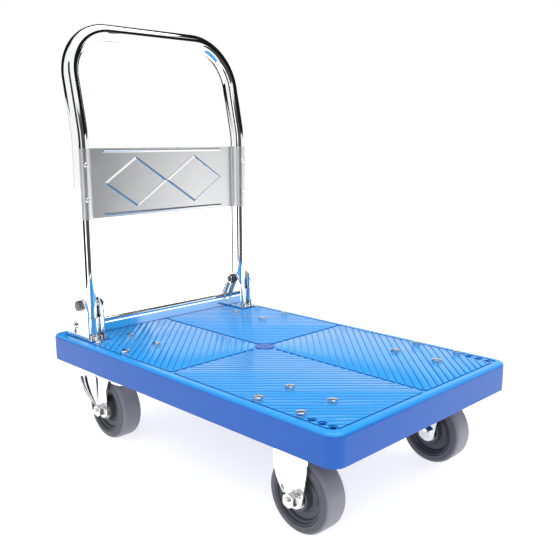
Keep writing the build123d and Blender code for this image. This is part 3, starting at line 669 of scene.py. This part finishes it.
paint(bearing_steel, *[node for node in frame["nodes"] if "swivel_balls" in node or "bearings" in node])
paint(zinc_steel, *[node for node in frame["nodes"] if "axle_sleeve" in node])

# ---- forks -------------------------------------------------------------------------
# Each fork is pressed from one steel sheet and chromed.  Its legs flare outwards along the
# rear edge, which makes them stiff.

chrome_steel = worn(
    "chrome_steel", [(0.90, 0.905, 0.92), (0.95, 0.95, 0.955)], (0.035, 0.085), 0.000002, 9.0, 1200.0, 1.0)

for name in SIDES:
    fit(cad_shell(f"swivel_fork_{name}", eased=0.0005), f"swivel_{name}", chrome_steel, "chrome_steel",
        f"swivel_fork_{name}")
    fit(cad_shell(f"rigid_fork_{name}", eased=0.0005), "deck", chrome_steel, "chrome_steel",
        f"rigid_fork_{name}")

# ---- wheels ------------------------------------------------------------------------
# A grey rubber tyre is moulded round a polypropylene hub.  The tyre has round shoulders and a
# thin bead beside the rim, and the hub is dished on both sides down to its boss.

tread_rubber = worn(
    "tread_rubber", [(0.050, 0.051, 0.070), (0.068, 0.069, 0.090)], (0.36, 0.50), 0.00004, 22.0, 700.0)
shader = shader_of(tread_rubber)
side_grey = shader.inputs["Base Color"].links[0].from_socket
tree = tread_rubber.node_tree
# The crown of the tread is painted a paler grey: painted light where the lamps fall on it.
painted_crown_light = link(tree, "ShaderNodeMix", {
    "Factor": link(tree, "ShaderNodeAttribute", {}, attribute_name="crown").outputs["Fac"],
    "A": side_grey,
    "B": (0.185, 0.185, 0.218, 1),
}, data_type="RGBA")
tree.links.new(painted_crown_light.outputs["Result"], shader.inputs["Base Color"])
hub_plastic = worn(
    "hub_plastic", [(0.040, 0.042, 0.056), (0.060, 0.062, 0.078)], (0.28, 0.42), 0.00003, 30.0, 1200.0)

crown_start = 0.0505        # painted paler from here out, as painted light on the tread
crown_fade = 0.0035
tyre_round = 0.0012
hub_round = 0.0007
wheel_segments = 128
tyre_half = [               # radius and distance from the wheel's middle, from the rim outwards
    (0.0412, 0.0200),
    (0.0425, 0.0212),
    (0.0438, 0.0212),
    (0.0448, 0.0203),
    (0.0480, 0.0203),
    (0.0498, 0.0196),
    (0.0530, 0.0178),
    (0.0545, 0.0152),
    (0.0550, 0.0120),
]
hub_half = [                # from the rim inwards
    (0.0410, 0.0195),
    (0.0398, 0.0200),
    (0.0386, 0.0195),
    (0.0380, 0.0160),
    (0.0352, 0.0142),
    (0.0340, 0.0105),
    (0.0262, 0.0088),
    (0.0240, 0.0100),
    (0.0215, 0.0110),
    (0.0203, 0.0140),
    (0.0200, 0.0228),
    (0.0164, 0.0228),
    (0.0161, 0.0215),
    (0.0161, 0.0128),
]


def both_faces(half):
    """Closed outline of a wheel part, from one face's outline."""
    return half + [(radius, -along) for radius, along in reversed(half)]


for place in ("rear", "front"):
    for name in SIDES:
        body = f"wheel_{place}_{name}"
        low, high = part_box(f"tread_{place}_{name}")
        middle = (low + high) / 2
        tyre = turned(f"tyre_{place}_{name}", rounded(both_faces(tyre_half), tyre_round, 3),
                      middle, (0, 1, 0), wheel_segments)
        crown = tyre.data.attributes.new("crown", "FLOAT", "POINT")
        for vertex in tyre.data.vertices:
            away = hypot(vertex.co.x - middle.x, vertex.co.z - middle.z)
            crown.data[vertex.index].value = min(1.0, max(0.0, (away - crown_start) / crown_fade))
        fit(tyre, body, tread_rubber, "tread_rubber", f"tread_{place}_{name}")
        hub = turned(f"hub_{place}_{name}", rounded(both_faces(hub_half), hub_round, 3),
                     middle, (0, 1, 0), wheel_segments)
        fit(hub, body, hub_plastic, "hub_plastic", f"wheel_hub_{place}_{name}")

# ---- axles -------------------------------------------------------------------------
# A zinc-plated bolt goes through both fork legs and the sleeve that the bearings sit on.
# The head is on the inner side, and a washer, a nut and a few threads show outside.

axle_across = 0.019
axle_radius = 0.006
axle_washer_radius = 0.012
axle_washer_thickness = 0.002
axle_nut = 0.010
axle_head = 0.0075
axle_thread = 0.0095
axle_pitch = 0.00175
axle_thread_from = 0.004    # from the nut's outer face
axle_overlap = 0.0005       # thread into the plain shank
fork_half = 0.027           # from the wheel's middle to a fork leg's outer face


def axle_parts(middle, side):
    """Bolt, washer and nut of one wheel, outside being the cart's own side."""
    inner = middle - Vector((0, side * fork_half, 0))
    outer = middle + Vector((0, side * fork_half, 0))
    outwards = (0, side, 0)
    inwards = (0, -side, 0)
    reach = 2 * fork_half + axle_washer_thickness + axle_nut
    plain = reach - axle_thread_from
    bolt = [
        turned("head", hexagon_blank(axle_across, axle_head), inner, inwards, 72),
        plain_shank(axle_radius, -bury, plain, inner, outwards),
        turned("thread", thread(axle_radius, axle_thread, axle_pitch),
               inner + Vector((0, side * (plain - axle_overlap), 0)), outwards, 48),
    ]
    nut = [
        disc("washer", axle_radius, axle_washer_radius, 0, axle_washer_thickness, 0.0004,
             outer, outwards, 64),
        turned("nut", hexagon_blank(axle_across, axle_nut, axle_radius),
               outer + Vector((0, side * axle_washer_thickness, 0)), outwards, 72),
    ]
    return bolt, nut


def joined(name, parts):
    """One piece out of several."""
    work = bmesh.new()
    for part in parts:
        work.from_mesh(part.data)
        bpy.data.objects.remove(part)
    mesh = bpy.data.meshes.new(name)
    work.to_mesh(mesh)
    work.free()
    shade(mesh)
    return put_on_stage(mesh, name)


front_bolts, front_nuts = [], []
for name, side in SIDES.items():
    low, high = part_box(f"tread_rear_{name}")
    bolt, nut = axle_parts((low + high) / 2, side)
    for kind, parts in (("bolt", bolt), ("nut", nut)):
        fit(joined(f"axle_{kind}_{name}", parts), f"swivel_{name}", zinc_steel, "zinc_steel",
            f"axle_{kind}_rear_{name}")
    low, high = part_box(f"tread_front_{name}")
    bolt, nut = axle_parts((low + high) / 2, side)
    front_bolts += bolt
    front_nuts += nut
fit(joined("front_axle_bolts", front_bolts), "deck", zinc_steel, "zinc_steel", "axle_bolts_front")
fit(joined("front_axle_nuts", front_nuts), "deck", zinc_steel, "zinc_steel", "axle_nuts_front")

# ---- hinge brackets ----------------------------------------------------------------
# Chromed steel pressings, folded to a channel, stand behind the deck's rear bolts.  Each
# carries the handle's pivot bolt, the foot bar's slot and a half-round stop for the leg.

for name in SIDES:
    fit(cad_shell(f"bracket_{name}", eased=0.0006), "deck", chrome_steel, "chrome_steel", f"bracket_{name}")
    fit(cad_shell(f"stop_cup_{name}", eased=0.0005), "deck", chrome_steel, "chrome_steel", f"stop_cup_{name}")

bracket_bolt_across = 0.010
bracket_bolt_corner = bracket_bolt_across / 2 / cos(radians(30))
bracket_bolt_radius = 0.003
bracket_bolt_head = 0.004
bracket_nut = 0.005
bracket_thread = 0.0065
bracket_pitch = 0.001
bracket_thread_from = 0.007  # from the bolt's lower end
bracket_overlap = 0.0002     # thread into the plain shank
low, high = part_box("bracket_bolts")
bracket_low, bracket_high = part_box("bracket_left")
base_top = high.z - bracket_bolt_head
bracket_points = [(x, side * (bracket_low.y + bracket_high.y) / 2, base_top)
                  for side in SIDES.values()
                  for x in (low.x + bracket_bolt_corner, high.x - bracket_bolt_corner)]
bracket_plain = low.z - base_top + bracket_thread_from
bracket_bolts = at_points("bracket_bolts_hex", [
    turned("head", hexagon_blank(bracket_bolt_across, bracket_bolt_head), (0, 0, 0), segments=72),
    plain_shank(bracket_bolt_radius, bury, bracket_plain),
    turned("thread", thread(bracket_bolt_radius, bracket_thread, bracket_pitch),
           (0, 0, bracket_plain - bracket_overlap), (0, 0, -1), 32),
], bracket_points, zinc_steel)
fit(bracket_bolts, "deck", zinc_steel, "zinc_steel", "bracket_bolts")
_, nuts_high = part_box("bracket_nuts")
bracket_nuts = at_points("bracket_nuts_hex", [
    turned("nut", hexagon_blank(bracket_bolt_across, bracket_nut, bracket_bolt_radius),
           (0, 0, 0), (0, 0, -1), 72),
], [(x, y, nuts_high.z) for x, y, _ in bracket_points], zinc_steel)
fit(bracket_nuts, "deck", zinc_steel, "zinc_steel", "bracket_nuts")

# ---- handle pivots -----------------------------------------------------------------
# A dark plated bolt goes through both ears and the bush in the leg.  Its head is outside, and
# a thin nut holds it inside, where the spring's eye hangs on the bolt's end.

dark_steel = worn(
    "dark_steel", [(0.10, 0.10, 0.11), (0.17, 0.17, 0.18)], (0.22, 0.40), 0.00001, 70.0, 1800.0, 1.0)

pivot_across = 0.017
pivot_radius = 0.005
pivot_head = 0.0064
pivot_nut = 0.005
pivot_end = 0.007           # past the nut, where the spring hangs
pivot_thread = 0.009
pivot_pitch = 0.0015
pivot_overlap = 0.0005      # thread into the plain shank
fold = next(joint for joint in frame["joints"] if joint["name"] == "handle_fold")
pivot_x, _, pivot_z = fold["pos_m"]

for name, side in SIDES.items():
    low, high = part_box(f"bracket_{name}")
    ear_out = (high.y if side > 0 else -low.y)
    ear_in = (low.y if side > 0 else -high.y)
    plain = ear_out - ear_in + pivot_nut + pivot_end - pivot_thread
    outer = Vector((pivot_x, side * ear_out, pivot_z))
    bolt = joined(f"pivot_bolt_hex_{name}", [
        turned("head", hexagon_blank(pivot_across, pivot_head), outer, (0, side, 0), 72),
        plain_shank(pivot_radius, -bury, plain, outer, (0, -side, 0), 48),
        turned("thread", thread(pivot_radius, pivot_thread, pivot_pitch),
               outer - Vector((0, side * (plain - pivot_overlap), 0)), (0, -side, 0), 48),
    ])
    fit(bolt, "deck", dark_steel, "dark_steel", f"pivot_bolt_{name}")
    nut = turned(f"pivot_nut_hex_{name}", hexagon_blank(pivot_across, pivot_nut, pivot_radius),
                 (pivot_x, side * ear_in, pivot_z), (0, -side, 0), 72)
    fit(nut, "deck", dark_steel, "dark_steel", f"pivot_nut_{name}")
paint(zinc_steel, "pivot_bush_right", "pivot_bush_left")

# ---- foot bar ----------------------------------------------------------------------
# A chromed rod slides in the slots of both brackets and catches behind the legs.  A pressed
# cap holds it at each end.

for node in ("foot_bar", "foot_bar_caps"):
    fit(cad_shell(node, eased=0.0003), "foot_bar", chrome_steel, "chrome_steel", node)

# ---- springs -----------------------------------------------------------------------
# Extension springs, close-wound from hard wire with a turned-out eye at each end, pull the
# bar up towards the pivots.

spring_steel = worn(
    "spring_steel", [(0.76, 0.76, 0.78), (0.84, 0.83, 0.82)], (0.16, 0.28), 0.000005, 60.0, 1500.0, 1.0)

wire_radius = 0.0009
wire_sides = 10
coil_radius = 0.0041
bar_radius = 0.0045
eye_gap = 0.0003            # eye to the bolt or the bar inside it
hook_length = 0.0115        # from the pivot's axis to the coil
turn_pitch = 2.15           # in wire radii
spring_tree, spring_input = new_tree("wound_spring", {
    "Turns": 12.0, "Coil Radius": 0.004, "Length": 0.03, "Wire Radius": 0.0009,
})
helix = link(spring_tree, "GeometryNodeCurveSpiral", {
    "Resolution": 24, "Rotations": spring_input["Turns"], "Start Radius": spring_input["Coil Radius"],
    "End Radius": spring_input["Coil Radius"], "Height": spring_input["Length"]})
wire = link(spring_tree, "GeometryNodeCurvePrimitiveCircle",
            {"Resolution": wire_sides, "Radius": spring_input["Wire Radius"]})
wound = link(spring_tree, "GeometryNodeCurveToMesh",
             {"Curve": helix.outputs[0], "Profile Curve": wire.outputs[0], "Fill Caps": True})
close_tree(spring_tree, wound.outputs[0], spring_input["Material"])


def wire_ring(name, centre, radius):
    """Closed eye of wire in the XZ plane."""
    turns = [2 * pi * n / wire_sides for n in range(wire_sides)]
    outline = [(radius + wire_radius * cos(turn), wire_radius * sin(turn)) for turn in turns]
    return turned(name, outline, centre, (0, 1, 0), 48)


def straight_wire(name, start, end):
    """Short straight length of wire."""
    run = Vector(end) - Vector(start)
    outline = [(0, 0), (wire_radius, 0), (wire_radius, run.length), (0, run.length)]
    return turned(name, outline, start, run, 12)


bar_low, bar_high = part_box("foot_bar")
bar = Vector(((bar_low.x + bar_high.x) / 2, 0, (bar_low.z + bar_high.z) / 2))
for name, side in SIDES.items():
    low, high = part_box(f"bar_spring_{name}")
    spring_y = (low.y + high.y) / 2
    top = Vector((pivot_x, spring_y, pivot_z))
    foot = Vector((bar.x, spring_y, bar.z))
    down = (foot - top).normalized()
    top_eye = pivot_radius + eye_gap + wire_radius
    foot_eye = bar_radius + eye_gap + wire_radius
    coil_start = top + down * hook_length
    coil_end = foot - down * (foot_eye + wire_radius)
    length = (coil_end - coil_start).length
    turns = length / (turn_pitch * wire_radius)
    coil = grow(f"coil_{name}", spring_tree, {
        "Turns": turns, "Coil Radius": coil_radius, "Length": length,
        "Wire Radius": wire_radius, "Material": spring_steel})
    aim = down.to_track_quat("Z", "Y").to_matrix().to_4x4()
    coil.data.transform(Matrix.Translation(coil_start) @ aim)
    wire_start = coil_start + aim.to_3x3() @ Vector((coil_radius, 0, 0))
    hook_top = straight_wire("hook", top + down * top_eye, wire_start)
    spring = joined(f"wound_spring_{name}", [
        coil,
        wire_ring("eye", top, top_eye),
        wire_ring("eye", foot, foot_eye),
        hook_top,
    ])
    spring.data.materials.clear()
    spring.data.materials.append(spring_steel)
    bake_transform(spring)
    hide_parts(f"bar_spring_{name}")

# ---- handle tube -------------------------------------------------------------------
# One length of welded steel tube, chromed.  It is bent backwards above the sheet, then round
# two large corners to the hand grip across the top.

tube_radius = 0.014
tube_wall = 0.0015
tube_sides = 56
bend_steps = 28
lean_z = 0.531              # where the straight legs and the leaning ones would meet
lean_bend = 0.120
corner_bend = 0.084
leg_straight_to = 0.45      # below this height a leg has no bend

tube_tree, tube_input = new_tree("bent_tube", {"Tube Radius": 0.014})
bends = link(tube_tree, "GeometryNodeInputNamedAttribute", {"Name": "bend"}, data_type="FLOAT")
path = link(tube_tree, "GeometryNodeMeshToCurve", {"Mesh": tube_input["Geometry"]})
curved = link(tube_tree, "GeometryNodeFilletCurve", {
    "Curve": path.outputs[0], "Count": bend_steps, "Radius": bends.outputs[0], "Limit Radius": False,
}, mode="POLY")
ring = link(tube_tree, "GeometryNodeCurvePrimitiveCircle",
            {"Resolution": tube_sides, "Radius": tube_input["Tube Radius"]})
pipe = link(tube_tree, "GeometryNodeCurveToMesh",
            {"Curve": curved.outputs[0], "Profile Curve": ring.outputs[0]})
close_tree(tube_tree, pipe.outputs[0], tube_input["Material"])

tube_low, tube_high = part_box("handle_tube")
leg_x = tube_high.x - tube_radius
leg_y = tube_high.y - tube_radius
grip_x = tube_low.x + tube_radius
grip_z = tube_high.z - tube_radius
route = bpy.data.meshes.new("handle_route")
route.from_pydata([
    (leg_x, -leg_y, tube_low.z),
    (leg_x, -leg_y, lean_z),
    (grip_x, -leg_y, grip_z),
    (grip_x, leg_y, grip_z),
    (leg_x, leg_y, lean_z),
    (leg_x, leg_y, tube_low.z),
], [(n, n + 1) for n in range(5)], [])
route.attributes.new("bend", "FLOAT", "POINT").data.foreach_set(
    "value", [0, lean_bend, corner_bend, corner_bend, lean_bend, 0])
handle = grow("bent_handle", tube_tree, {"Tube Radius": tube_radius, "Material": chrome_steel}, route)
work = bmesh.new()
work.from_mesh(handle.data)
bmesh.ops.remove_doubles(work, verts=work.verts, dist=1e-7)
bmesh.ops.recalc_face_normals(work, faces=work.faces)
facing_out = 0.0
for face in work.faces:
    centre = face.calc_center_median()
    if centre.z < leg_straight_to and centre.y < 0:
        facing_out += face.normal.dot(centre - Vector((leg_x, -leg_y, centre.z)))
if facing_out < 0:
    bmesh.ops.reverse_faces(work, faces=work.faces)
work.to_mesh(handle.data)
work.free()
thicken(handle, tube_wall, -1, 50)
fit(handle, "handle", chrome_steel, "chrome_steel", "handle_tube")

# ---- handle sheet ------------------------------------------------------------------
# Brushed stainless sheet, one millimetre thick, wrapped round the front of both legs.  It is
# stiffened by a bead along the top and the bottom and two raised diamonds side by side.

sheet_thickness = 0.001
sheet_gap = 0.00005         # sheet to tube
sheet_bend = 0.0025
wrap_angle = radians(45)
diamond = (0.0660, 0.0435)   # half its length and height
diamond_steps = 40           # sheet's mesh lines across half a diamond
ridge_half = 0.0019
ridge_height = 0.0012
bead_length = 0.271
bead_inset = 0.0055

sheet_stainless = worn(
    "sheet_stainless", [(0.62, 0.625, 0.63), (0.69, 0.69, 0.69)], (0.26, 0.36), 0.000004, 8.0, 1500.0, 1.0)
tree = sheet_stainless.node_tree
place = link(tree, "ShaderNodeTexCoord", {}).outputs["Object"]
lines = link(tree, "ShaderNodeMapping", {"Vector": place, "Scale": (40.0, 6.0, 900.0)})
brushed = link(tree, "ShaderNodeTexNoise", {"Vector": lines.outputs[0], "Scale": 1.0, "Detail": 3.0})
hairline = link(tree, "ShaderNodeBump", {"Height": brushed.outputs["Fac"], "Distance": 0.00003})
tree.links.new(hairline.outputs[0], shader_of(sheet_stainless).inputs["Normal"])

panel_low, panel_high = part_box("handle_panel")
sheet_radius = tube_radius + sheet_gap + sheet_thickness / 2
sheet_x = leg_x - sheet_bend
sheet_end = leg_y - sheet_radius - sheet_bend


def arc(centre, radius, start, sweep, steps):
    """Points on an arc in the XY plane."""
    return [(centre[0] + radius * cos(start + sweep * n / steps),
             centre[1] + radius * sin(start + sweep * n / steps)) for n in range(steps + 1)]


half_section = arc((leg_x, leg_y), sheet_radius, wrap_angle, -wrap_angle - pi / 2, 36)
half_section += arc((leg_x, sheet_end), sheet_bend, pi / 2, pi / 2, 8)
# The mesh's columns and rows cross along the diamonds' sides, so that their ridges stay crisp.
column = diamond[0] / diamond_steps
row_height = diamond[1] / diamond_steps
columns = int(sheet_end / column)
flat = [(sheet_x, n * column) for n in range(columns, -columns - 1, -1)]
section = half_section + flat + [(x, -y) for x, y in reversed(half_section)]

mid_z = (panel_low.z + panel_high.z) / 2
half_z = (panel_high.z - panel_low.z) / 2
bead = (bead_length / 2, half_z - bead_inset)
diamond_at = (diamond_steps + 1) * column


def from_line(point, start, end):
    """Distance from a point to a straight line between two points."""
    run = end - start
    along = min(1.0, max(0.0, (point - start).dot(run) / run.length_squared))
    return (point - start - run * along).length


ridges = [(Vector((-bead[0], z)), Vector((bead[0], z))) for z in (bead[1], -bead[1])]
for centre in (-diamond_at, diamond_at):
    corners = [Vector((centre + diamond[0], 0)), Vector((centre, diamond[1])),
               Vector((centre - diamond[0], 0)), Vector((centre, -diamond[1]))]
    ridges += list(zip(corners, corners[1:] + corners[:1]))


def raised(y, z):
    """How far the sheet is pressed forward at a place."""
    point = Vector((y, z - mid_z))
    near = min(from_line(point, start, end) for start, end in ridges)
    return ridge_height * (0.5 + 0.5 * cos(pi * min(1.0, near / ridge_half)))


rows_up = int(half_z / row_height)
levels = [-half_z, *[n * row_height for n in range(-rows_up, rows_up + 1)], half_z]
work = bmesh.new()
grid = []
for level in levels:
    height = mid_z + level
    forward = [raised(y, height) if abs(y) < sheet_end else 0 for _, y in section]
    grid.append([work.verts.new((x + out, y, height)) for (x, y), out in zip(section, forward)])
for lower, upper in zip(grid, grid[1:]):
    for n in range(len(section) - 1):
        square = (lower[n], lower[n + 1], upper[n + 1], upper[n])
        middle = sum((corner.co for corner in square), Vector()) / 4
        # Cut the square along the diagonal that runs with the diamond's side there.
        rises_with_section = (abs(middle.y) - diamond_at) * middle.y * (middle.z - mid_z) > 0
        first = 0 if rises_with_section else 1
        work.faces.new((square[first], square[first + 1], square[first + 2]))
        work.faces.new((square[first], square[first + 2], square[first - 1]))
mesh = bpy.data.meshes.new("handle_sheet")
work.to_mesh(mesh)
work.free()
sheet = put_on_stage(mesh, "handle_sheet")
thicken(sheet, sheet_thickness, 0, 50)
fit(sheet, "handle", sheet_stainless, "sheet_stainless", "handle_panel")

# ---- rivets ------------------------------------------------------------------------
# Four blind rivets of aluminium hold the sheet to the legs.  Each has a domed head with the
# broken mandrel in the middle.

rivet_aluminium = worn(
    "rivet_aluminium", [(0.80, 0.80, 0.81), (0.88, 0.88, 0.88)], (0.16, 0.28), 0.000005, 90.0, 2000.0, 1.0)

low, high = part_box("panel_rivets")
rivet_radius = high.y - leg_y
rivet_top = 0.0020
rivet_rim = 0.0006
rivet_shank = (0.0019, 0.0030)      # radius and length
mandrel_hole = (0.0010, 0.0012)     # radius and the height of its bottom
mandrel = (0.0008, 0.0016)          # radius and height
rivet_points = [(high.x - rivet_top, side * leg_y, z)
                for side in SIDES.values()
                for z in (low.z + rivet_radius, high.z - rivet_radius)]
rivets = at_points("blind_rivets", [
    turned("dome", rounded([
        (0, -rivet_shank[1]),
        (rivet_shank[0], -rivet_shank[1]),
        (rivet_shank[0], 0),
        (rivet_radius, 0),
        (rivet_radius, rivet_rim),
        (rivet_radius * 0.72, rivet_top * 0.85),
        (0.0013, rivet_top * 0.98),
        mandrel_hole,
        (0, mandrel_hole[1]),
    ], 0.0005), (0, 0, 0), (1, 0, 0), 48),
    disc("mandrel", 0, mandrel[0], 0, mandrel[1], 0.0002, (0, 0, 0), (1, 0, 0), 24),
], rivet_points, rivet_aluminium)
fit(rivets, "handle", rivet_aluminium, "rivet_aluminium", "panel_rivets")
